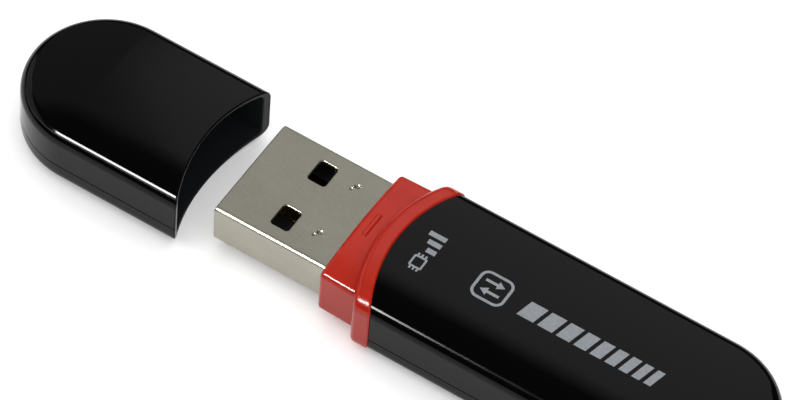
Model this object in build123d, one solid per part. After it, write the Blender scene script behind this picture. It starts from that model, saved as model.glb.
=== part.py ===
"""USB flash drive with a pull-off cap: glossy two-part shells, a red collar and a standard USB type A plug.

Millimetres. The pieces are modelled from the middle of the plug's tip: x runs along the drive from the
plug's tip to the tail, y across it, and z up from the mid-plane of the drive. placed() then moves them
to the part's own frame, whose origin is the bottom centre of the drive and its cap lying in line.
"""

from build123d import *

import math
import os

# ---- Standard USB type A plug ----
plug_width = 12.0
plug_height = 4.5
plug_exposed = 12.05
plug_buried = 6.7
plug_sheet = 0.3
plug_corner = 0.45
plug_lip = 0.12
window_start = 5.05
window_length = 1.9
window_width = 2.5
window_offset = 3.1
window_corner = 0.3
window_edge_radius = 0.12
stake_x = 9.43
stake_offset = 3.18
stake_shift = 0.5
stake_pit_radius = 0.33
stake_pit_depth = 0.18
stake_nick_radius = 0.2
stake_nick_depth = 0.08
stake_nick_x = -0.33
stake_nick_y = -0.57

tongue_start = 0.55
tongue_thickness = 1.9
tongue_base_start = 9.6
tongue_end = 14.0
tongue_clearance = 0.04
tongue_nose_chamfer = 0.35

contact_width = 1.0
contact_thickness = 0.22
contact_sunk = 0.17
data_contact_offset = 1.0
power_contact_offset = 3.5
data_contact_start = 2.15
power_contact_start = 1.15
contact_foot_end = 16.3
contact_bend_radius = 0.15

# ---- Body ----
body_half_width = 8.2
edge_half_height = 3.1
crown_rise = 0.78
shell_corner = 1.3
body_wall_side = 0.9
body_wall_top = 0.7
body_straight = 31.25
body_seam_z = -1.2
seam_groove_width = 0.12
seam_groove_depth = 0.12
foot_land_depth = 0.08
body_inner_corner = 0.4
locating_lip_height = 0.5
locating_lip_thickness = 0.35
locating_lip_gap = 0.3
shell_fit = 0.05

# ---- Collar ----
sleeve_exposed = 2.3
flange_front_radius = 17.0
flange_width = 1.85
body_front_radius = 16.5
flange_proud = 0.15
flange_edge_radius = 0.7
flange_rear_radius = 0.2
sleeve_side_fit = 0.05
sleeve_top_fit = 0.1
sleeve_draft = 0.19
sleeve_crown_rise = 0.58
sleeve_corner = 0.6
sleeve_nose_radius = 0.4
spigot_length = 3.8
detent_setback = 0.95
detent_length = 0.5
detent_width = 2.9
detent_clearance = 0.15
detent_bevel_share = 0.8

# ---- Cap ----
cap_inset = 0.15
cap_wall_side = 0.85
cap_wall_top = 0.35
cap_off_gap = 4.65
cap_closed_gap = 0.05
cap_nose_room = 4.15
cap_mouth_radius = 18.35
cap_rim_radius = 0.15
cap_inner_corner = 0.6
cap_seam_z = -1.0

# ---- Circuit board and what is on it ----
board_thickness = 0.8
board_neck_start = 14.3
board_neck_gap = 0.25
board_collar_gap = 0.4
board_side_gap = 0.25
board_tail_gap = 0.15
board_corner = 0.8
post_radius = 0.7
post_inset = 0.9
front_post_setback = 2.0
rear_post_setback = 1.4

chip_standoff = 0.1
controller_size = 7.0
controller_height = 1.4
controller_setback = 7.2
controller_leads_a_side = 12
memory_width = 12.0
memory_height = 1.0
memory_front_gap = 1.1
memory_rear_gap = 1.0
memory_leads_an_end = 24
lead_pitch = 0.5
lead_width = 0.22
lead_thickness = 0.13
lead_reach = 0.8
solder_gap = 0.02

crystal_length = 5.0
crystal_width = 3.2
crystal_base_height = 0.5
crystal_can_height = 0.7
crystal_setback = 15.2
crystal_y = 3.6
regulator_length = 2.9
regulator_width = 1.6
regulator_height = 1.0
regulator_setback = 14.8
regulator_y = -3.8
passive_length = 1.6
passive_width = 0.8
capacitor_height = 0.8
resistor_height = 0.45
passive_pitch = 2.2
capacitor_count = 5
resistor_count = 4
capacitor_row_setback = 19.2
resistor_row_setback = 1.3

# ---- Worked out from the sizes above ----
plug_length = plug_exposed + plug_buried
flange_front = plug_exposed + sleeve_exposed
board_top = plug_sheet + tongue_thickness - plug_height / 2
board_bottom = board_top - board_thickness
flange_half_width = body_half_width + flange_proud
flange_edge_half_height = edge_half_height + flange_proud
rest_z = -(edge_half_height + crown_rise - foot_land_depth)
body_front = flange_front + flange_width
body_straight_end = body_front + body_straight
tail_end = body_straight_end + body_half_width
body_inner_half_width = body_half_width - body_wall_side
body_inner_edge = edge_half_height - body_wall_top
cap_half_width = body_half_width - cap_inset
cap_inner_half_width = cap_half_width - cap_wall_side
cap_inner_edge = edge_half_height - cap_wall_top
cap_travel = flange_front + cap_off_gap
cap_stroke = cap_travel - cap_closed_gap
cap_mouth = flange_front - cap_travel
cap_mouth_centre = cap_mouth + cap_mouth_radius
cap_end_centre = cap_inner_half_width - cap_nose_room - cap_stroke
cap_end = cap_end_centre - cap_half_width
big = 4 * (tail_end - cap_end)
body_front_centre = body_front + body_front_radius
spigot_half_width = body_inner_half_width - shell_fit
spigot_edge_half_height = body_inner_edge - shell_fit
spigot_end = body_front + spigot_length
locating_lip_start = spigot_end + locating_lip_gap
sleeve_root_half_width = cap_inner_half_width - sleeve_side_fit
sleeve_front_half_width = sleeve_root_half_width - sleeve_draft
sleeve_edge_half_height = cap_inner_edge - sleeve_top_fit
sleeve_crest = sleeve_edge_half_height + sleeve_crown_rise
detent_start = plug_exposed + detent_setback
detent_height = cap_inner_edge + crown_rise - sleeve_crest - detent_clearance
board_neck_half_width = plug_width / 2 - plug_sheet - board_neck_gap
board_wide_start = spigot_end + board_collar_gap
board_half_width = (
    body_inner_half_width - shell_fit - locating_lip_thickness - board_side_gap
)
board_end = body_straight_end - board_tail_gap
front_post_x = board_wide_start + front_post_setback
rear_post_x = board_end - rear_post_setback
controller_x = board_wide_start + controller_setback
memory_start = front_post_x + post_radius + memory_front_gap + lead_reach
memory_end = rear_post_x - post_radius - memory_rear_gap - lead_reach
memory_x = (memory_start + memory_end) / 2
crystal_x = board_wide_start + crystal_setback
regulator_x = board_wide_start + regulator_setback
capacitor_row_x = board_wide_start + capacitor_row_setback
resistor_row_x = board_wide_start + resistor_row_setback


# ---- Shared shapes ----
def section(half_width, half_height, rise, corner):
    """Outline across the drive: straight sides, top and bottom gently crowned, corners rounded."""
    crest = half_height + rise
    top = ThreePointArc((-half_width, half_height), (0, crest), (half_width, half_height))
    right = Line((half_width, half_height), (half_width, -half_height))
    bottom = ThreePointArc((half_width, -half_height), (0, -crest), (-half_width, -half_height))
    left = Line((-half_width, -half_height), (-half_width, half_height))
    face = make_face([top, right, bottom, left])
    return fillet(face.vertices(), corner)


def round_ended(half_width, half_height, rise, corner, straight):
    """A bar of that section from x = 0 to x = straight, with a half-round end that bulges towards -X."""
    outline = section(half_width, half_height, rise, corner)
    bar = extrude(Plane.YZ * outline, straight)
    half = outline & (Pos(half_width, 0) * Rectangle(2 * half_width, 4 * (half_height + rise)))
    return bar + revolve(Plane.YZ * half, Axis.Z, 180)


def slab(low_z, high_z):
    """Everything between two heights."""
    return Pos(0, 0, (low_z + high_z) / 2) * Box(2 * big, 2 * big, high_z - low_z)


def beyond(x):
    """Everything on the tail's side of x."""
    return Pos(x + big / 2, 0, 0) * Box(big, big, big)


def block(start_x, end_x, half_width, low_z, high_z, centre_y=0.0):
    """A plain box, given by where it starts and ends."""
    middle = Pos((start_x + end_x) / 2, centre_y, (low_z + high_z) / 2)
    return middle * Box(end_x - start_x, 2 * half_width, high_z - low_z)


def drum(radius, front_x):
    """An upright drum whose rim, bulging towards the plug's tip, is a parting line's curve."""
    return Pos(front_x + radius, 0, 0) * Cylinder(radius, 10 * edge_half_height)


def behind_body_front():
    """Everything behind the curved line where the flange meets the body."""
    return drum(body_front_radius, body_front) + beyond(body_front_centre)


def upright_face(shape, radius):
    """The face of a shape that was cut by a drum of that radius."""
    round_faces = shape.faces().filter_by(GeomType.CYLINDER)
    return round_faces.sort_by(lambda face: abs(face.radius - radius))[0]


def seam_groove(outer, core, seam_z):
    """The fine groove that runs round a shell where its two halves meet."""
    band = slab(seam_z - seam_groove_width / 2, seam_z + seam_groove_width / 2)
    return (outer & band) - core


def placed(shape):
    """Move a piece from the modelling frame to the part's own frame."""
    return Pos(-(cap_end + tail_end) / 2, 0, -rest_z) * shape


# ---- Cap ----
def cap_shells():
    """Both halves of the cap: a thin shell with a half-round end and a mouth hollowed to meet the flange."""
    straight = cap_mouth_centre - cap_end_centre
    at_end = Pos(cap_end_centre, 0, 0)
    outer = at_end * round_ended(cap_half_width, edge_half_height, crown_rise, shell_corner, straight)
    core = at_end * round_ended(
        cap_half_width - seam_groove_depth, edge_half_height, crown_rise, shell_corner, straight
    )
    hollow = at_end * round_ended(
        cap_inner_half_width, cap_inner_edge, crown_rise, cap_inner_corner, straight
    )
    groove_start = detent_start - cap_stroke - shell_fit
    detent_groove = block(
        groove_start,
        groove_start + detent_length + 2 * shell_fit,
        detent_width / 2 + shell_fit,
        0,
        cap_inner_edge + crown_rise + detent_height,
    )
    shell = outer - hollow - detent_groove
    shell -= drum(cap_mouth_radius, cap_mouth)
    rim = upright_face(shell, cap_mouth_radius)
    shell = fillet(rim.edges(), cap_rim_radius)
    shell &= slab(rest_z, edge_half_height + 2 * crown_rise)
    shell -= seam_groove(outer, core, cap_seam_z)
    return shell & slab(cap_seam_z, big), shell & slab(-big, cap_seam_z)


# ---- Body ----
def body_blank(half_width, half_height, corner):
    """The body's round-tailed bar, long enough to be trimmed by the parting arc at the front."""
    straight = body_straight_end
    bar = round_ended(half_width, half_height, crown_rise, corner, straight)
    return Pos(body_straight_end, 0, 0) * Rot(0, 0, 180) * bar


def board_posts(low_z, high_z):
    """Round posts that clamp the circuit board near its four corners."""
    posts = []
    for x in (front_post_x, rear_post_x):
        for side in (-1, 1):
            y = side * (board_half_width - post_inset)
            height = high_z - low_z
            posts.append(Pos(x, y, (low_z + high_z) / 2) * Cylinder(post_radius, height))
    return Part() + posts


def body_shells():
    """Both halves of the body, with the posts that hold the board and the lower half's locating lip."""
    outer = body_blank(body_half_width, edge_half_height, shell_corner)
    core = body_blank(body_half_width - seam_groove_depth, edge_half_height, shell_corner)
    hollow = body_blank(body_inner_half_width, body_inner_edge, body_inner_corner)
    shell = (outer - hollow) & behind_body_front()
    shell &= slab(rest_z, edge_half_height + 2 * crown_rise)
    shell -= seam_groove(outer, core, body_seam_z)
    hanging = board_posts(board_top, edge_half_height + crown_rise) & hollow
    standing = board_posts(-edge_half_height - crown_rise, board_bottom) & hollow
    upper = (shell & slab(body_seam_z, big)) + hanging
    lower = (shell & slab(-big, body_seam_z)) + standing + locating_lip()
    return upper, lower


def locating_lip():
    """The thin wall on the lower half that locates the upper half; it runs round the tail."""
    outside = body_inner_half_width - shell_fit
    inside = outside - locating_lip_thickness
    ring = body_blank(outside, body_inner_edge, body_inner_corner)
    ring -= body_blank(inside, body_inner_edge, body_inner_corner)
    ring &= slab(body_seam_z, body_seam_z + locating_lip_height)
    foot = body_blank(body_inner_half_width, body_inner_edge, body_inner_corner)
    foot -= body_blank(inside, body_inner_edge, body_inner_corner)
    foot &= slab(body_seam_z - locating_lip_height, body_seam_z)
    return (ring + foot) & beyond(locating_lip_start)


# ---- Collar ----
def collar():
    """The red collar: a sleeve that the cap slides over, a proud flange and a spigot inside the body."""
    body = (sleeve() + flange() + spigot()) & slab(rest_z, big)
    bore = block(0, 2 * spigot_end, plug_width / 2, -plug_height / 2, plug_height / 2)
    return body - bore + detent()


def sleeve():
    """The tapered sleeve that the cap slides over, with its front edge rounded."""
    front = section(
        sleeve_front_half_width, sleeve_edge_half_height, sleeve_crown_rise, sleeve_corner
    )
    root = section(
        sleeve_root_half_width, sleeve_edge_half_height, sleeve_crown_rise, sleeve_corner
    )
    root_x = body_front_centre - math.sqrt(body_front_radius**2 - sleeve_root_half_width**2)
    tapered = loft([Plane.YZ.offset(plug_exposed) * front, Plane.YZ.offset(root_x) * root])
    nose = tapered.faces().sort_by(Axis.X)[0]
    return fillet(nose.edges(), sleeve_nose_radius) - behind_body_front()


def flange():
    """The crescent band that shows between cap and body, standing a little proud of both."""
    outline = section(
        flange_half_width, flange_edge_half_height, crown_rise, shell_corner + flange_proud
    )
    centre_x = flange_front + flange_front_radius
    band = extrude(Plane.YZ * outline, centre_x) & drum(flange_front_radius, flange_front)
    band = fillet(upright_face(band, flange_front_radius).edges(), flange_edge_radius)
    band -= behind_body_front()
    return fillet(upright_face(band, body_front_radius).edges(), flange_rear_radius)


def spigot():
    """The part of the collar that plugs into the front of the body."""
    reach = body_blank(spigot_half_width, spigot_edge_half_height, body_inner_corner)
    return reach & behind_body_front() & block(body_front, spigot_end, big, -big, big)


def detent():
    """The small bevelled ridge on top of the sleeve that the cap clicks over, sunk to meet the crown."""
    end = detent_start + detent_length
    ridge = block(detent_start, end, detent_width / 2, -detent_height, detent_height)
    top = ridge.faces().sort_by(Axis.Z)[-1]
    return Pos(0, 0, sleeve_crest) * chamfer(top.edges(), detent_bevel_share * detent_height)


# ---- USB plug ----
def plug_outline(inset):
    """The plug's rounded rectangle across its length, taken in by inset all round."""
    return RectangleRounded(
        plug_width - 2 * inset,
        plug_height - 2 * inset,
        plug_corner - inset,
    )


def plug_shell():
    """The folded sheet-metal shell, with its four latch windows and pressed dimples."""
    tube = extrude(Plane.YZ * plug_outline(0), plug_length)
    front = tube.faces().sort_by(Axis.X)[0]
    tube = chamfer(front.edges(), plug_lip)
    tube -= extrude(Plane.YZ * plug_outline(plug_sheet), plug_length)
    window = RectangleRounded(window_length, window_width, window_corner)
    for side in (-1, 1):
        at_window = Pos(window_start + window_length / 2, side * window_offset, 0)
        tube -= at_window * extrude(window, plug_height, both=True)
        tube -= Pos(stake_x, side * stake_offset + stake_shift, plug_height / 2) * stake()
    return fillet(window_rims(tube), window_edge_radius)


def window_rims(tube):
    """The outer edges round the latch windows, which the punch rolls inwards."""
    across = window_offset + window_width / 2
    along = tube.edges().filter_by_position(Axis.X, window_start, window_start + window_length)
    near = along.filter_by_position(Axis.Y, -across, across)
    return near.filter_by(lambda edge: math.isclose(abs(edge.center().Z), plug_height / 2, abs_tol=0.01))


def stake():
    """The pit and the smaller nick beside it that punches leave where the shell is staked to the insulator."""
    pit = dimple(stake_pit_radius, stake_pit_depth)
    nick = dimple(stake_nick_radius, stake_nick_depth)
    return pit + Pos(stake_nick_x, stake_nick_y, 0) * nick


def dimple(radius, depth):
    """A ball that leaves a round dimple of that radius and depth in a top at z = 0."""
    ball_radius = (radius**2 + depth**2) / (2 * depth)
    return Pos(0, 0, ball_radius - depth) * Sphere(ball_radius)


def plug_tongue():
    """The insulator: a tongue along the floor of the plug and a full-height base behind it."""
    half_width = plug_width / 2 - plug_sheet - tongue_clearance
    floor = -plug_height / 2 + plug_sheet
    ceiling = plug_height / 2 - plug_sheet - tongue_clearance
    tongue = block(tongue_start, tongue_end, half_width, floor, board_top)
    nose_edge = tongue.edges().filter_by(Axis.Y).sort_by(Axis.X)[:2].sort_by(Axis.Z)[-1]
    tongue = chamfer(nose_edge, tongue_nose_chamfer)
    tongue += block(tongue_base_start, tongue_end, half_width, floor, ceiling)
    tongue &= extrude(Plane.YZ * plug_outline(plug_sheet), plug_length)
    for start, y in contact_layout():
        tongue -= contact_channel(start, y)
    return tongue


def contact_layout():
    """Start and place across the plug of the four contacts: ground, data plus, data minus, power."""
    return [
        (power_contact_start, power_contact_offset),
        (data_contact_start, data_contact_offset),
        (data_contact_start, -data_contact_offset),
        (power_contact_start, -power_contact_offset),
    ]


def contact_channel(start, y):
    """The slot in the tongue and its base that one contact fills."""
    low = board_top - contact_sunk
    return block(start, tongue_end, contact_width / 2, low, low + contact_thickness, y)


def contact(start, y):
    """One contact: a flat strip along the tongue, stepping up to a foot that lies on the board."""
    low = board_top - contact_sunk
    strip = block(start, board_neck_start - solder_gap, contact_width / 2, low, low + contact_thickness, y)
    riser = block(
        board_neck_start - solder_gap - contact_thickness,
        board_neck_start - solder_gap,
        contact_width / 2,
        low,
        board_top + contact_thickness,
        y,
    )
    foot = block(
        board_neck_start - solder_gap - contact_thickness,
        contact_foot_end,
        contact_width / 2,
        board_top,
        board_top + contact_thickness,
        y,
    )
    return strip + riser + foot


# ---- Circuit board and components ----
def circuit_board():
    """A T-shaped board: a neck inside the plug shell and a wide part in the body."""
    neck = block(
        board_neck_start, board_wide_start, board_neck_half_width, board_bottom, board_top
    )
    wide = block(board_wide_start, board_end, board_half_width, board_bottom, board_top)
    corners = wide.edges().filter_by(Axis.Z).sort_by(Axis.X)[-2:]
    return neck + fillet(corners, board_corner)


def gull_wing(reach, height, side):
    """One lead that leaves a chip along +X and steps down (side 1) or up (side -1) to the board."""
    knee = reach / 2
    foot_top = lead_thickness
    shoulder = height / 2
    points = [
        (0, shoulder),
        (knee, shoulder),
        (knee, foot_top),
        (reach, foot_top),
        (reach, 0),
        (knee - lead_thickness, 0),
        (knee - lead_thickness, shoulder - lead_thickness),
        (0, shoulder - lead_thickness),
    ]
    outline = make_face(Polyline(*points, close=True))
    lead = extrude(Plane.XZ * outline, lead_width / 2, both=True)
    return lead if side > 0 else mirror(lead, Plane.XY)


def lead_row(count, reach, height, side):
    """A row of leads at even pitch, all leaving along +X."""
    lead = gull_wing(reach, height, side)
    offsets = [(index - (count - 1) / 2) * lead_pitch for index in range(count)]
    return [Pos(0, y, 0) * lead for y in offsets]


def controller():
    """The square controller on top of the board, and its leads on all four sides."""
    low = board_top + chip_standoff
    half = controller_size / 2
    chip = block(
        controller_x - half, controller_x + half, half, low, low + controller_height
    )
    chip = chamfer(chip.faces().sort_by(Axis.Z)[-1].edges(), lead_thickness)
    leads = []
    for turn in range(4):
        row = lead_row(controller_leads_a_side, lead_reach, controller_height, 1)
        place = Pos(controller_x, 0, board_top) * Rot(0, 0, 90 * turn) * Pos(half, 0, 0)
        leads += [place * lead for lead in row]
    return chip, Compound(children=leads)


def memory():
    """The long memory chip under the board, and its leads on the two short ends."""
    high = board_bottom - chip_standoff
    half = (memory_end - memory_start) / 2
    chip = block(memory_x - half, memory_x + half, memory_width / 2, high - memory_height, high)
    chip = chamfer(chip.faces().sort_by(Axis.Z)[0].edges(), lead_thickness)
    leads = []
    for turn in range(2):
        row = lead_row(memory_leads_an_end, lead_reach, memory_height, -1)
        place = Pos(memory_x, 0, board_bottom) * Rot(0, 0, 180 * turn) * Pos(half, 0, 0)
        leads += [place * lead for lead in row]
    return chip, Compound(children=leads)


def crystal():
    """The clock crystal: a ceramic base with a metal can on it."""
    half_length = crystal_length / 2
    low = board_top
    middle = low + crystal_base_height
    base = block(
        crystal_x - half_length, crystal_x + half_length, crystal_width / 2, low, middle, crystal_y
    )
    can = block(
        crystal_x - half_length + lead_pitch / 2,
        crystal_x + half_length - lead_pitch / 2,
        crystal_width / 2 - lead_pitch / 2,
        middle,
        middle + crystal_can_height,
        crystal_y,
    )
    can = fillet(can.edges().filter_by(Axis.Z), lead_pitch)
    return base, can


def regulator():
    """The small voltage regulator: two leads on one side and one on the other."""
    low = board_top + chip_standoff
    half = regulator_width / 2
    chip = block(
        regulator_x - regulator_length / 2,
        regulator_x + regulator_length / 2,
        half,
        low,
        low + regulator_height,
        regulator_y,
    )
    lead = gull_wing(lead_reach, regulator_height, 1)
    spread = regulator_length / 3
    here = Pos(regulator_x, regulator_y, board_top)
    leads = [here * Rot(0, 0, 90) * Pos(half, 0, 0) * lead]
    for offset in (-spread, spread):
        leads.append(here * Rot(0, 0, -90) * Pos(half, offset, 0) * lead)
    return chip, Compound(children=leads)


def passive_row(count, x, height):
    """A row across the board of small two-ended parts of one kind."""
    row = []
    for index in range(count):
        y = (index - (count - 1) / 2) * passive_pitch
        row.append(
            block(
                x - passive_length / 2,
                x + passive_length / 2,
                passive_width / 2,
                board_top,
                board_top + height,
                y,
            )
        )
    return Compound(children=row)


def contact_solder():
    """A bead of solder at the end of each contact's foot."""
    beads = []
    for _, y in contact_layout():
        bead = block(
            contact_foot_end,
            contact_foot_end + contact_width / 2,
            contact_width / 2,
            board_top,
            board_top + contact_thickness,
            y,
        )
        beads.append(chamfer(bead.edges().filter_by(Axis.Y).sort_by(Axis.X)[-1:], contact_thickness * 0.8))
    return Compound(children=beads)


def plug_solder():
    """Beads of solder that tie the shell's side walls to the board's neck."""
    gap_end = plug_width / 2 - plug_sheet
    width = gap_end - board_neck_half_width
    beads = []
    for side in (-1, 1):
        y = side * (gap_end - width / 2)
        beads.append(
            block(
                plug_length - 2 * contact_width,
                plug_length - contact_width / 2,
                width / 2,
                board_bottom,
                board_top,
                y,
            )
        )
    return Compound(children=beads)


def build():
    """Every node of the drive, by name."""
    cap_upper, cap_lower = cap_shells()
    body_upper, body_lower = body_shells()
    controller_chip, controller_leads = controller()
    memory_chip, memory_leads = memory()
    crystal_base, crystal_can = crystal()
    voltage_regulator, regulator_leads = regulator()
    names = ["contact_ground", "contact_data_plus", "contact_data_minus", "contact_power"]
    nodes = {name: contact(start, y) for name, (start, y) in zip(names, contact_layout())}
    nodes |= {
        "cap_upper_shell": cap_upper,
        "cap_lower_shell": cap_lower,
        "body_upper_shell": body_upper,
        "body_lower_shell": body_lower,
        "collar": collar(),
        "plug_shell": plug_shell(),
        "plug_tongue": plug_tongue(),
        "circuit_board": circuit_board(),
        "controller_chip": controller_chip,
        "controller_leads": controller_leads,
        "memory_chip": memory_chip,
        "memory_leads": memory_leads,
        "crystal_base": crystal_base,
        "crystal_can": crystal_can,
        "voltage_regulator": voltage_regulator,
        "regulator_leads": regulator_leads,
        "ceramic_capacitors": passive_row(capacitor_count, capacitor_row_x, capacitor_height),
        "chip_resistors": passive_row(resistor_count, resistor_row_x, resistor_height),
        "contact_solder_joints": contact_solder(),
        "plug_solder_joints": plug_solder(),
    }
    return nodes


os.makedirs("parts", exist_ok=True)
for node_name, node_shape in build().items():
    export_step(placed(node_shape), f"parts/{node_name}.step")
print("cap stroke mm", round(cap_stroke, 3), "lowest plane to mid-plane mm", round(-rest_z, 3))
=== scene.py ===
"""Looks of the USB flash drive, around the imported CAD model: materials, marks, light, floor and camera."""

import math

import bmesh
import bpy
from mathutils import Euler, Matrix, Vector
from mathutils.bvhtree import BVHTree


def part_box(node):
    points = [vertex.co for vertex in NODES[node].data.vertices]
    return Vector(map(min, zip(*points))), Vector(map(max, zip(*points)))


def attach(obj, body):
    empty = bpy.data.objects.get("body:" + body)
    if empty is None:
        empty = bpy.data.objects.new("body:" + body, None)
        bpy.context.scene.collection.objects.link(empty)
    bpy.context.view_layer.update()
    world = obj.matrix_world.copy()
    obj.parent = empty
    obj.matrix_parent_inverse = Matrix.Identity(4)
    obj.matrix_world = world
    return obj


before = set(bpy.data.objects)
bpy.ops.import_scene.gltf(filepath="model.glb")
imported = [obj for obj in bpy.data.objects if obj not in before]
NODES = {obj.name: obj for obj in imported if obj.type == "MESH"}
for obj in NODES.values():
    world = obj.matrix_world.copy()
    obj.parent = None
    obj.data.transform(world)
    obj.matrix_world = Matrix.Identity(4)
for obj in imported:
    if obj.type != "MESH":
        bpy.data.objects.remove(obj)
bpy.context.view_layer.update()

MM = 0.001

# ---- Places that everything else is measured from ----
PLUG_LOW, PLUG_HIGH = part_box("plug_shell")
PLUG_TIP = Vector((PLUG_LOW.x, (PLUG_LOW.y + PLUG_HIGH.y) / 2, (PLUG_LOW.z + PLUG_HIGH.z) / 2))
BODY_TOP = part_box("body_upper_shell")[1].z
LIT_POINT = Vector((-3.0, 0, 4.0)) * MM

# ---- Camera: directions in degrees ----
CAMERA_AZIMUTH = 28.08
CAMERA_ELEVATION = 52.97
CAMERA_ROLL = 5.33
CAMERA_DISTANCE = 507.7 * MM
CAMERA_LENS = 247.5
CAMERA_SENSOR = 36.0
CAMERA_NEAR = 10 * MM
CAMERA_SHIFT = Vector((12.68, 6.06, 0)) * MM  # from the middle of the plug's tip to the point looked at

# ---- Key: a bright box in steps, each reaching further towards the tail and half as bright ----
KEY_AZIMUTH = -146
KEY_ELEVATION = 49
KEY_DISTANCE = 660 * MM
KEY_APART = 1 * MM
KEY_HEIGHT = 160 * MM
KEY_HALF_WIDTH = 67.5 * MM
KEY_STEPS = 4
KEY_STEP_WIDTH = 5 * MM
KEY_RADIANCE = 100

# ---- Back panels: dim, in steps of height that make their top edge soft ----
PANEL_AZIMUTH = -30
PANEL_DISTANCE = 900 * MM
PANEL_HALF_WIDTH = 450 * MM
PANEL_FOOT = 24.0
PANEL_TOP = 62.5
PANEL_STEPS = 4
PANEL_STEP_HEIGHT = 1.2
PANEL_LEFT_RADIANCE = 0.36
PANEL_RIGHT_RADIANCE = 1.05

# ---- Other light, and the table ----
BOX_DISTANCE = 900 * MM
WORLD_STRENGTH = 0.03
TABLE_SIDE = 4.0
TABLE_GLOW = 0.2
TABLE_GREYS = (0.88, 0.90)

# ---- Finish of the black shells ----
BLACK = (0.0012, 0.0012, 0.0014)
INNER_BLACK = (0.012, 0.013, 0.0145)
DUST = (0.30, 0.28, 0.25)
CAP_CROWN = 0.78 * MM  # how far the top's edges lie under its crest
CAP_SKIN_TOP = 0.18 * MM  # how deep under the outside the satin inside starts
CAP_SKIN_SIDE = 0.40 * MM

# ---- Colours that vary over a surface: from, to ----
RED = ((0.345, 0.010, 0.0014), (0.395, 0.013, 0.0022))
NICKEL = ((0.31, 0.295, 0.245), (0.395, 0.38, 0.322))
SOLDER_MASK = ((0.010, 0.11, 0.045), (0.016, 0.17, 0.07))
INK = ((0.185, 0.200, 0.215), (0.235, 0.250, 0.265))

# ---- Colours of the small parts ----
INSULATOR = (0.010, 0.010, 0.011)
RESIN = (0.022, 0.022, 0.024)
CERAMIC = (0.42, 0.33, 0.24)
GOLD = (0.95, 0.70, 0.25)
TIN = (0.72, 0.72, 0.73)
CRYSTAL_CAN = (0.70, 0.69, 0.66)
SOLDER = (0.66, 0.67, 0.69)

# ---- Ink: how it lies on the body's top ----
INK_PROUD = 0.012 * MM
INK_SUNK = 0.03 * MM
INK_STEP = 0.3 * MM

# ---- Printed marks: places in metres from the plug's tip, and the marks' own sizes in millimetres ----
BADGE_CENTRE = Vector((26.3, -0.2, 0)) * MM
BADGE_WIDTH = 3.5
BADGE_HEIGHT = 3.3
BADGE_CORNER = 0.9
BADGE_LINE = 0.28
ARROW_LENGTH = 2.0
ARROW_SHAFT = 0.30
ARROW_HEAD_LENGTH = 0.75
ARROW_HEAD_WIDTH = 0.92
ARROW_OFFSET = 0.56
STRIPE_START = Vector((29.55, -1.35, 0)) * MM
STRIPE_COUNT = 9
STRIPE_WIDEST = 1.75
STRIPE_TAPER = 0.90
STRIPE_GAP = 0.42
STRIPE_HEIGHT = 1.95
STRIPE_LEAN = 0.25
SIGN_START = Vector((20.05, -2.5, 0)) * MM
SIGN_HEIGHT = 1.8
SIGN_CHIP = 1.38
SIGN_CHIP_CORNER = 0.18
SIGN_CORE_CORNER = 0.06
SIGN_LEG = 0.28
SIGN_LEG_PITCH = SIGN_CHIP / 3.6
SIGN_LINE = 0.2
SIGN_BAR = 0.55
SIGN_GAP = 0.38
SIGN_LEVELS = 3
SIGN_FIRST_LEVEL = 0.55
SIGN_LEVEL_STEP = 0.225
ALONG_DRIVE = ((1, 0), (0, 1))
ACROSS_DRIVE = ((0, 1), (-1, 0))


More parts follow.
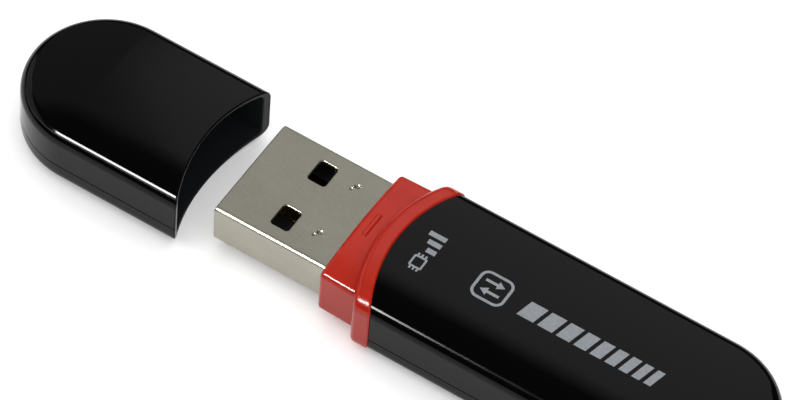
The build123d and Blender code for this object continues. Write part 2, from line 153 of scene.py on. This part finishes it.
# ---- Small helpers for shader nodes ----
class Shader:
    """A material's node tree, with one short call for each kind of node."""

    def __init__(self, name):
        self.material = bpy.data.materials.new(name)
        self.material.use_nodes = True
        self.tree = self.material.node_tree
        self.tree.nodes.clear()
        self.output = self.tree.nodes.new("ShaderNodeOutputMaterial")
        self.surface = self.tree.nodes.new("ShaderNodeBsdfPrincipled")
        self.link(self.surface, "BSDF", self.output, "Surface")
        self.place = self.tree.nodes.new("ShaderNodeTexCoord")

    def link(self, source, output, target, socket):
        """Join one node's output to another node's input."""
        self.tree.links.new(source.outputs[output], target.inputs[socket])

    def set(self, **values):
        """Values of the surface's own sockets; an underscore in a name stands for a space."""
        for name, value in values.items():
            self.surface.inputs[name.replace("_", " ")].default_value = value

    def stretched(self, scale):
        """Object coordinates, scaled along each axis."""
        mapping = self.tree.nodes.new("ShaderNodeMapping")
        mapping.inputs["Scale"].default_value = scale
        self.link(self.place, "Object", mapping, "Vector")
        return mapping

    def noise(self, scale, detail=2.0, roughness=0.5):
        """A noise texture; scale is (x, y, z) features a metre."""
        texture = self.tree.nodes.new("ShaderNodeTexNoise")
        texture.inputs["Scale"].default_value = 1.0
        texture.inputs["Detail"].default_value = detail
        texture.inputs["Roughness"].default_value = roughness
        self.link(self.stretched(scale), "Vector", texture, "Vector")
        return texture

    def ramp(self, source, stops, output="Fac"):
        """A colour ramp over a texture: stops are (place, grey or colour)."""
        ramp = self.tree.nodes.new("ShaderNodeValToRGB")
        elements = ramp.color_ramp.elements
        while len(elements) < len(stops):
            elements.new(0.5)
        for element, (place, value) in zip(elements, stops):
            element.position = place
            element.color = (value, value, value, 1) if isinstance(value, float) else (*value, 1)
        self.link(source, output, ramp, "Fac")
        return ramp

    def specks(self, scale, radius, share, stretch=(1, 1, 1)):
        """Sparse specks, white where one is: radius is in cell widths, share is how many cells have one."""
        cells = self.tree.nodes.new("ShaderNodeTexVoronoi")
        cells.inputs["Scale"].default_value = 1.0
        self.link(self.stretched([scale * part for part in stretch]), "Vector", cells, "Vector")
        near = self.ramp(cells, [(0.0, 1.0), (radius, 0.0)], "Distance")
        chosen = self.ramp(cells, [(1 - share, 0.0), (1 - share + 0.01, 1.0)], "Color")
        return self.product(near, "Color", chosen, "Color")

    def product(self, first, first_output, second, second_output):
        """Two values multiplied."""
        maths = self.tree.nodes.new("ShaderNodeMath")
        maths.operation = "MULTIPLY"
        self.link(first, first_output, maths, 0)
        self.link(second, second_output, maths, 1)
        return maths

    def maths(self, operation, *values):
        """A maths node over numbers, earlier nodes or (node, output) pairs; returns (node, output)."""
        node = self.tree.nodes.new("ShaderNodeMath")
        node.operation = operation
        for socket, value in enumerate(values):
            if isinstance(value, tuple):
                self.link(value[0], value[1], node, socket)
            else:
                node.inputs[socket].default_value = value
        return node, "Value"

    def blend_values(self, first, first_output, second, second_output, share):
        """Two values mixed: share is how much of the second there is."""
        mix = self.tree.nodes.new("ShaderNodeMix")
        mix.inputs["Factor"].default_value = share
        self.link(first, first_output, mix, "A")
        self.link(second, second_output, mix, "B")
        return mix

    def layered_colour(self, ground, covers):
        """A ground colour under covers: each is a mask, its output, and the colour where it is white."""
        below = None
        for mask, output, colour in covers:
            mix = self.tree.nodes.new("ShaderNodeMix")
            mix.data_type = "RGBA"
            self.link(mask, output, mix, "Factor")
            if below is None:
                self.colour_socket(mix, "A").default_value = (*ground, 1)
            else:
                self.tree.links.new(self.colour_result(below), self.colour_socket(mix, "A"))
            self.colour_socket(mix, "B").default_value = (*colour, 1)
            below = mix
        self.tree.links.new(self.colour_result(below), self.surface.inputs["Base Color"])

    @staticmethod
    def colour_socket(mix, name):
        """The colour input of a mix node, which has inputs of several types under one name."""
        return next(item for item in mix.inputs if item.name == name and item.type == "RGBA")

    @staticmethod
    def colour_result(mix):
        """The colour output of a mix node."""
        return next(item for item in mix.outputs if item.type == "RGBA")

    def roughness(self, source, output, low, high, mask=None, masked=None):
        """Roughness that follows a texture between two values; where a mask is white, it is masked."""
        span = self.tree.nodes.new("ShaderNodeMapRange")
        span.inputs["To Min"].default_value = low
        span.inputs["To Max"].default_value = high
        self.link(source, output, span, "Value")
        if mask is None:
            self.link(span, "Result", self.surface, "Roughness")
            return
        mix = self.tree.nodes.new("ShaderNodeMix")
        self.link(mask, "Value", mix, "Factor")
        self.link(span, "Result", mix, "A")
        mix.inputs["B"].default_value = masked
        self.link(mix, "Result", self.surface, "Roughness")

    def bump(self, source, output, depth, before=None):
        """Relief of that depth in metres, on top of an earlier bump if there is one."""
        bump = self.tree.nodes.new("ShaderNodeBump")
        bump.inputs["Strength"].default_value = 1.0
        bump.inputs["Distance"].default_value = depth
        self.link(source, output, bump, "Height")
        if before is not None:
            self.link(before, "Normal", bump, "Normal")
        self.link(bump, "Normal", self.surface, "Normal")
        return bump


# ---- Materials ----
def black_gloss():
    """High-gloss black plastic with moulding ripple, haze, rub marks and dust, and satin inside the cap."""
    shader = Shader("black_gloss")
    shader.set(IOR=1.24)
    haze = shader.noise((220, 220, 220), detail=4.0, roughness=0.6)
    rubs = shader.noise((350, 9000, 9000), detail=2.0, roughness=0.7)
    polish = shader.blend_values(haze, "Fac", rubs, "Fac", share=0.35)
    inside = inner_mask(shader)
    shader.roughness(polish, "Result", low=0.04, high=0.12, mask=inside, masked=0.3)
    dust = shader.specks(620, radius=0.10, share=0.05)
    grain = shader.noise((3000, 3000, 3000), detail=2.0)
    shader.layered_colour(BLACK, [(dust, "Value", DUST), (inside, "Value", INNER_BLACK)])
    ripple = shader.noise((160, 160, 160), detail=1.0)
    first = shader.bump(ripple, "Fac", depth=0.003 * MM)
    second = shader.bump(grain, "Fac", depth=0.0002 * MM, before=first)
    shader.bump(dust, "Value", depth=0.03 * MM, before=second)
    return shader.material


def inner_mask(shader):
    """White inside the cap and black outside, told by the depth under the shell's outline."""
    low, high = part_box("cap_upper_shell")
    half_width = (high.y - low.y) / 2
    round_centre = low.x + half_width
    crest = high.z - PLUG_TIP.z
    parts = shader.tree.nodes.new("ShaderNodeSeparateXYZ")
    shader.link(shader.place, "Object", parts, "Vector")
    past_centre = shader.maths("MINIMUM", shader.maths("SUBTRACT", (parts, "X"), round_centre), 0.0)
    squares = shader.maths(
        "ADD",
        shader.maths("MULTIPLY", past_centre, past_centre),
        shader.maths("MULTIPLY", (parts, "Y"), (parts, "Y")),
    )
    reach = shader.maths("SQRT", squares)
    height = shader.maths("ABSOLUTE", shader.maths("SUBTRACT", (parts, "Z"), PLUG_TIP.z))
    crowned = shader.maths("MULTIPLY_ADD", squares, CAP_CROWN / half_width**2, height)
    under_roof = shader.maths("LESS_THAN", crowned, crest - CAP_SKIN_TOP)
    within = shader.maths("LESS_THAN", reach, half_width - CAP_SKIN_SIDE)
    mask = shader.maths("MULTIPLY", under_roof, within)
    on_cap = shader.maths("LESS_THAN", (parts, "X"), high.x)
    return shader.maths("MULTIPLY", mask, on_cap)[0]


def red_plastic():
    """Glossy red moulded plastic, slightly cloudy, with fine rub marks along the drive."""
    shader = Shader("red_plastic")
    shader.set(IOR=1.40, Subsurface_Weight=0.10, Subsurface_Scale=0.3 * MM)
    shader.surface.inputs["Subsurface Radius"].default_value = (1.0, 0.2, 0.1)
    cloud = shader.noise((500, 500, 500), detail=3.0)
    shade = shader.ramp(cloud, [(0.3, RED[0]), (0.7, RED[1])])
    shader.link(shade, "Color", shader.surface, "Base Color")
    rubs = shader.noise((500, 7000, 7000), detail=3.0, roughness=0.7)
    shader.roughness(rubs, "Fac", low=0.14, high=0.30)
    grain = shader.noise((2600, 2600, 2600), detail=2.0)
    shader.bump(grain, "Fac", depth=0.0012 * MM)
    return shader.material


def nickel_sheet():
    """Nickel-plated sheet: fine pebbled plating, faint rolled grain, a few short scuffs and a warm cast."""
    shader = Shader("nickel_sheet")
    shader.set(Metallic=1.0)
    cloud = shader.noise((260, 420, 420), detail=4.0, roughness=0.65)
    pebbles = shader.noise((6500, 6500, 6500), detail=2.0, roughness=0.6)
    mottle = shader.blend_values(cloud, "Fac", pebbles, "Fac", share=0.6)
    shade = shader.ramp(mottle, [(0.3, NICKEL[0]), (0.7, NICKEL[1])], "Result")
    shader.link(shade, "Color", shader.surface, "Base Color")
    grain = shader.noise((1500, 11000, 11000), detail=3.0, roughness=0.6)
    finish = shader.blend_values(grain, "Fac", pebbles, "Fac", share=0.5)
    shader.roughness(finish, "Result", low=0.24, high=0.46)
    first = shader.bump(grain, "Fac", depth=0.0008 * MM)
    second = shader.bump(pebbles, "Fac", depth=0.0045 * MM, before=first)
    scuffs = shader.specks(520, radius=0.10, share=0.06, stretch=(1.0, 0.22, 1.0))
    shader.bump(scuffs, "Value", depth=0.012 * MM, before=second)
    return shader.material


def moulded_plastic(name, colour, low, high):
    """Satin moulded plastic with a fine grain."""
    shader = Shader(name)
    shader.set(IOR=1.48)
    grain = shader.noise((4000, 4000, 4000), detail=3.0)
    lighter = tuple(min(1.0, 1.25 * part) for part in colour)
    shade = shader.ramp(grain, [(0.3, colour), (0.7, lighter)])
    shader.link(shade, "Color", shader.surface, "Base Color")
    shader.roughness(grain, "Fac", low, high)
    shader.bump(grain, "Fac", depth=0.003 * MM)
    return shader.material


def plated_metal(name, colour, low, high, streak=(3000, 12000, 12000)):
    """Thin plating with fine streaks along the part."""
    shader = Shader(name)
    shader.set(Metallic=1.0)
    grain = shader.noise(streak, detail=3.0)
    darker = tuple(0.8 * part for part in colour)
    shade = shader.ramp(grain, [(0.25, darker), (0.75, colour)])
    shader.link(shade, "Color", shader.surface, "Base Color")
    shader.roughness(grain, "Fac", low, high)
    shader.bump(grain, "Fac", depth=0.001 * MM)
    return shader.material


def board_laminate():
    """Green solder mask over woven glass."""
    shader = Shader("board_laminate")
    shader.set(IOR=1.5)
    weave = shader.noise((2500, 2500, 400), detail=1.0)
    shade = shader.ramp(weave, [(0.35, SOLDER_MASK[0]), (0.65, SOLDER_MASK[1])])
    shader.link(shade, "Color", shader.surface, "Base Color")
    shader.roughness(weave, "Fac", low=0.2, high=0.4)
    shader.bump(weave, "Fac", depth=0.004 * MM)
    return shader.material


def printed_ink():
    """Light grey pad-printed ink, slightly uneven in cover."""
    shader = Shader("printed_ink")
    shader.set(IOR=1.45)
    cover = shader.noise((2200, 2200, 2200), detail=4.0, roughness=0.6)
    shade = shader.ramp(cover, [(0.3, INK[0]), (0.7, INK[1])])
    shader.link(shade, "Color", shader.surface, "Base Color")
    shader.roughness(cover, "Fac", low=0.30, high=0.45)
    shader.bump(cover, "Fac", depth=0.001 * MM)
    return shader.material


def dress_cad_nodes():
    """Give every carried-over CAD node its material."""
    gloss = black_gloss()
    red = red_plastic()
    nickel = nickel_sheet()
    insulator = moulded_plastic("black_insulator", INSULATOR, low=0.35, high=0.5)
    resin = moulded_plastic("chip_resin", RESIN, low=0.5, high=0.7)
    ceramic = moulded_plastic("ceramic_body", CERAMIC, low=0.4, high=0.6)
    gold = plated_metal("gold_plate", GOLD, low=0.08, high=0.16)
    tin = plated_metal("tin_plate", TIN, low=0.25, high=0.4)
    can = plated_metal("crystal_can_metal", CRYSTAL_CAN, low=0.2, high=0.35)
    solder = plated_metal("solder_metal", SOLDER, low=0.15, high=0.35, streak=(4000, 4000, 4000))
    board = board_laminate()
    dress = {
        gloss: ["body_upper_shell", "body_lower_shell", "cap_upper_shell", "cap_lower_shell"],
        red: ["collar"],
        nickel: ["plug_shell"],
        insulator: ["plug_tongue"],
        gold: ["contact_power", "contact_data_minus", "contact_data_plus", "contact_ground"],
        board: ["circuit_board"],
        resin: ["controller_chip", "memory_chip", "voltage_regulator", "chip_resistors"],
        tin: ["controller_leads", "memory_leads", "regulator_leads"],
        ceramic: ["crystal_base", "ceramic_capacitors"],
        can: ["crystal_can"],
        solder: ["contact_solder_joints", "plug_solder_joints"],
    }
    for material, names in dress.items():
        for name in names:
            NODES[name].data.materials.clear()
            NODES[name].data.materials.append(material)


# ---- Printed marks on the body's top ----
class Printer:
    """Prints flat outlines on the body's top: each becomes thin closed ink that follows the crown."""

    def __init__(self):
        top = NODES["body_upper_shell"]
        self.tree = BVHTree.FromPolygons(
            [vertex.co for vertex in top.data.vertices],
            [tuple(face.vertices) for face in top.data.polygons],
        )
        self.ink = printed_ink()
        self.ceiling = BODY_TOP + 1 * MM

    def surface(self, x, y):
        """Height of the body's top over a point."""
        hit, _, _, _ = self.tree.ray_cast(Vector((x, y, self.ceiling)), Vector((0, 0, -1)))
        return hit.z

    def printed(self, name, faces):
        """One piece of ink from flat faces, each a list of (x, y) points in metres."""
        mesh = bmesh.new()
        for outline in faces:
            mesh.faces.new([mesh.verts.new((x, y, 0)) for x, y in outline])
        bmesh.ops.remove_doubles(mesh, verts=mesh.verts, dist=0.0005 * MM)
        bmesh.ops.triangulate(mesh, faces=mesh.faces)
        self.cut_along(mesh)
        lower = mesh.faces[:]
        raised = bmesh.ops.extrude_face_region(mesh, geom=lower)["geom"]
        top = {item for item in raised if isinstance(item, bmesh.types.BMVert)}
        for vertex in mesh.verts:
            lift = INK_PROUD if vertex in top else -INK_SUNK
            vertex.co.z = self.surface(vertex.co.x, vertex.co.y) + lift
        bmesh.ops.recalc_face_normals(mesh, faces=mesh.faces)
        data = bpy.data.meshes.new(name)
        mesh.to_mesh(data)
        mesh.free()
        data.materials.append(self.ink)
        piece = bpy.data.objects.new(name, data)
        bpy.context.scene.collection.objects.link(piece)
        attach(piece, "drive")

    def cut_along(self, mesh):
        """Cut the faces at even steps across the drive, so that they can bend over the crown."""
        low = min(vertex.co.y for vertex in mesh.verts)
        high = max(vertex.co.y for vertex in mesh.verts)
        for step in range(math.ceil(low / INK_STEP), math.ceil(high / INK_STEP)):
            bmesh.ops.bisect_plane(
                mesh,
                geom=mesh.verts[:] + mesh.edges[:] + mesh.faces[:],
                plane_co=(0, step * INK_STEP, 0),
                plane_no=(0, 1, 0),
            )


def placed_outline(points, origin, along, up):
    """Points given in millimetres along and up a mark's own axes, placed on the drive in metres."""
    return [
        (
            origin.x + (u * along[0] + v * up[0]) * MM,
            origin.y + (u * along[1] + v * up[1]) * MM,
        )
        for u, v in points
    ]


def band_faces(outside, inside):
    """Quads between two closed outlines that have as many points as each other."""
    count = len(outside)
    return [
        [outside[i], outside[(i + 1) % count], inside[(i + 1) % count], inside[i]] for i in range(count)
    ]


def rounded_rectangle(width, height, radius, steps=6):
    """Points round a rectangle whose corners are arcs of that radius, about its middle."""
    points = []
    for corner, (side, end) in enumerate(((1, 1), (-1, 1), (-1, -1), (1, -1))):
        for step in range(steps + 1):
            angle = math.radians(90 * (corner + step / steps))
            points.append(
                (
                    side * (width / 2 - radius) + radius * math.cos(angle),
                    end * (height / 2 - radius) + radius * math.sin(angle),
                )
            )
    return points


def arrow(sign):
    """A plain arrow along u, off the middle: sign is which way it points and which side it is on."""
    tail = -ARROW_LENGTH / 2
    neck = ARROW_LENGTH / 2 - ARROW_HEAD_LENGTH
    points = [
        (tail, -ARROW_SHAFT / 2),
        (neck, -ARROW_SHAFT / 2),
        (neck, -ARROW_HEAD_WIDTH / 2),
        (ARROW_LENGTH / 2, 0),
        (neck, ARROW_HEAD_WIDTH / 2),
        (neck, ARROW_SHAFT / 2),
        (tail, ARROW_SHAFT / 2),
    ]
    return [(sign * u, sign * ARROW_OFFSET + sign * v) for u, v in points]


def badge(printer):
    """A rounded frame with two opposed arrows, as a sign for reading and writing."""
    origin = PLUG_TIP + BADGE_CENTRE
    outside = rounded_rectangle(BADGE_WIDTH, BADGE_HEIGHT, BADGE_CORNER)
    inside = rounded_rectangle(
        BADGE_WIDTH - 2 * BADGE_LINE, BADGE_HEIGHT - 2 * BADGE_LINE, BADGE_CORNER - BADGE_LINE
    )
    faces = band_faces(
        placed_outline(outside, origin, *ALONG_DRIVE), placed_outline(inside, origin, *ALONG_DRIVE)
    )
    for sign in (-1, 1):
        faces.append(placed_outline(arrow(sign), origin, *ALONG_DRIVE))
    printer.printed("mark_badge", faces)


def stripes(printer):
    """A row of slanted bars that narrow towards the tail."""
    start = 0.0
    for number in range(STRIPE_COUNT):
        width = STRIPE_WIDEST * STRIPE_TAPER**number
        lean = STRIPE_LEAN * STRIPE_HEIGHT
        bar = [
            (start, 0),
            (start + width, 0),
            (start + width + lean, STRIPE_HEIGHT),
            (start + lean, STRIPE_HEIGHT),
        ]
        outline = placed_outline(bar, PLUG_TIP + STRIPE_START, *ALONG_DRIVE)
        printer.printed(f"mark_stripe_{number + 1}", [outline])
        start += width + STRIPE_GAP


def memory_sign(printer):
    """A small chip with legs, and a level of three bars beside it, read from the side of the drive."""
    origin = PLUG_TIP + SIGN_START
    centre = SIGN_CHIP / 2 + SIGN_LEG
    inner = SIGN_CHIP - 2 * SIGN_LINE
    rims = []
    for side, corner in ((SIGN_CHIP, SIGN_CHIP_CORNER), (inner, SIGN_CORE_CORNER)):
        rim = [(u + centre, v + SIGN_HEIGHT / 2) for u, v in rounded_rectangle(side, side, corner)]
        rims.append(placed_outline(rim, origin, *ACROSS_DRIVE))
    faces = band_faces(*rims)
    for place in (-1, 0, 1):
        for end in (-1, 1):
            near = centre + end * SIGN_CHIP / 2
            far = near + end * SIGN_LEG
            low = SIGN_HEIGHT / 2 + place * SIGN_LEG_PITCH - SIGN_LINE / 2
            leg = [(near, low), (far, low), (far, low + SIGN_LINE), (near, low + SIGN_LINE)]
            faces.append(placed_outline(leg, origin, *ACROSS_DRIVE))
    printer.printed("mark_chip", faces)
    for number in range(SIGN_LEVELS):
        left = 2 * centre + SIGN_GAP + number * (SIGN_BAR + SIGN_GAP)
        right = left + SIGN_BAR
        tall = SIGN_HEIGHT * (SIGN_FIRST_LEVEL + SIGN_LEVEL_STEP * number)
        bar = [(left, 0), (right, 0), (right, tall), (left, tall)]
        printer.printed(f"mark_level_{number + 1}", [placed_outline(bar, origin, *ACROSS_DRIVE)])


# ---- Light, floor and camera ----
def softbox(name, azimuth, elevation, distance, span, height, radiance):
    """A rectangular light that faces the object. Azimuth runs from +Y towards +X, in degrees.

    span is where it starts and ends along X, measured from the line that leaves the object that way.
    """
    start, end = span
    data = bpy.data.lights.new(name, "AREA")
    data.shape = "RECTANGLE"
    data.size = end - start
    data.size_y = height
    data.energy = radiance * math.pi * data.size * data.size_y
    level = math.cos(math.radians(elevation))
    turn = math.radians(azimuth)
    away = Vector((math.sin(turn) * level, math.cos(turn) * level, math.sin(math.radians(elevation))))
    along = (Vector((1, 0, 0)) - away * away.x).normalized()
    facing = Matrix((along, away.cross(along), away)).transposed()
    centre = LIT_POINT + distance * away + along * (start + end) / 2
    light = bpy.data.objects.new(name, data)
    light.matrix_world = Matrix.Translation(centre) @ facing.to_4x4()
    bpy.context.scene.collection.objects.link(light)
    return light


def key_boxes():
    """The bright box that the near edges mirror, in steps that fade out towards the tail; gloss only."""
    for number in range(KEY_STEPS):
        box = softbox(
            f"key_box_{number + 1}",
            azimuth=KEY_AZIMUTH,
            elevation=KEY_ELEVATION,
            distance=KEY_DISTANCE + number * KEY_APART,
            span=(-KEY_HALF_WIDTH, KEY_HALF_WIDTH + number * KEY_STEP_WIDTH),
            height=KEY_HEIGHT,
            radiance=KEY_RADIANCE / 2 ** (number + 1),
        )
        box.visible_diffuse = False


def back_panels():
    """The dim panels behind the drive that its top mirrors, the right half brighter than the left."""
    halves = (
        ("left", (-PANEL_HALF_WIDTH, 0), PANEL_LEFT_RADIANCE),
        ("right", (0, PANEL_HALF_WIDTH), PANEL_RIGHT_RADIANCE),
    )
    for number in range(PANEL_STEPS):
        top = PANEL_TOP + number * PANEL_STEP_HEIGHT
        for side, span, radiance in halves:
            softbox(
                f"back_panel_{number + 1}_{side}",
                azimuth=PANEL_AZIMUTH,
                elevation=(top + PANEL_FOOT) / 2,
                distance=PANEL_DISTANCE,
                span=span,
                height=2 * PANEL_DISTANCE * math.tan(math.radians((top - PANEL_FOOT) / 2)),
                radiance=radiance / PANEL_STEPS,
            )


def side_boxes():
    """Dim boxes beyond the two ends of the drive, for its round ends to mirror."""
    softbox(
        "left_box",
        azimuth=-95,
        elevation=30,
        distance=BOX_DISTANCE,
        span=(-0.25, 0.25),
        height=1.0,
        radiance=0.9,
    )
    softbox(
        "right_box",
        azimuth=100,
        elevation=35,
        distance=BOX_DISTANCE,
        span=(-0.3, 0.3),
        height=0.9,
        radiance=1.2,
    )


def matt_lights():
    """An even light overhead and two weak fills from the near side, which no gloss mirrors."""
    overhead = softbox(
        "overhead_light",
        azimuth=0,
        elevation=89,
        distance=1.2,
        span=(-1.3, 1.3),
        height=2.6,
        radiance=1.4,
    )
    fill = softbox(
        "fill_box",
        azimuth=-125,
        elevation=45,
        distance=BOX_DISTANCE,
        span=(-0.2, 0.2),
        height=0.3,
        radiance=1.8,
    )
    front = softbox(
        "front_box",
        azimuth=160,
        elevation=30,
        distance=BOX_DISTANCE,
        span=(-0.35, 0.35),
        height=0.4,
        radiance=0.6,
    )
    for light in (overhead, fill, front):
        light.visible_glossy = False


def table():
    """A white table top that glows a little, as if lit from below, so that shadows on it stay pale."""
    bpy.ops.mesh.primitive_plane_add(size=TABLE_SIDE)
    floor = bpy.context.object
    floor.name = "floor"
    shader = Shader("floor_paper")
    paper = shader.noise((60, 60, 60), detail=2.0)
    darker, lighter = TABLE_GREYS
    shade = shader.ramp(paper, [(0.3, (darker,) * 3), (0.7, (lighter,) * 3)])
    shader.link(shade, "Color", shader.surface, "Base Color")
    shader.set(Roughness=0.9, Emission_Color=(1, 1, 1, 1), Emission_Strength=TABLE_GLOW)
    floor.data.materials.append(shader.material)


def studio():
    """The table, the lights round it and a faint even surround."""
    table()
    matt_lights()
    key_boxes()
    back_panels()
    side_boxes()
    world = bpy.data.worlds.new("studio_world")
    world.use_nodes = True
    surround = world.node_tree.nodes["Background"]
    surround.inputs["Color"].default_value = (1, 1, 1, 1)
    surround.inputs["Strength"].default_value = WORLD_STRENGTH
    bpy.context.scene.world = world
    bpy.context.scene.view_settings.view_transform = "Standard"


def camera():
    """The camera, from its direction, distance and lens."""
    data = bpy.data.cameras.new("camera")
    data.lens = CAMERA_LENS
    data.sensor_width = CAMERA_SENSOR
    data.clip_start = CAMERA_NEAR
    turn = Euler(
        (math.radians(90 - CAMERA_ELEVATION), 0, math.radians(CAMERA_AZIMUTH))
    ).to_matrix()
    roll = Matrix.Rotation(math.radians(CAMERA_ROLL), 3, "Z")
    turn = turn @ roll
    away = turn @ Vector((0, 0, CAMERA_DISTANCE))
    view = bpy.data.objects.new("camera", data)
    view.matrix_world = Matrix.Translation(PLUG_TIP + CAMERA_SHIFT + away) @ turn.to_4x4()
    bpy.context.scene.collection.objects.link(view)
    bpy.context.scene.camera = view


dress_cad_nodes()
ink_printer = Printer()
badge(ink_printer)
stripes(ink_printer)
memory_sign(ink_printer)
studio()
camera()
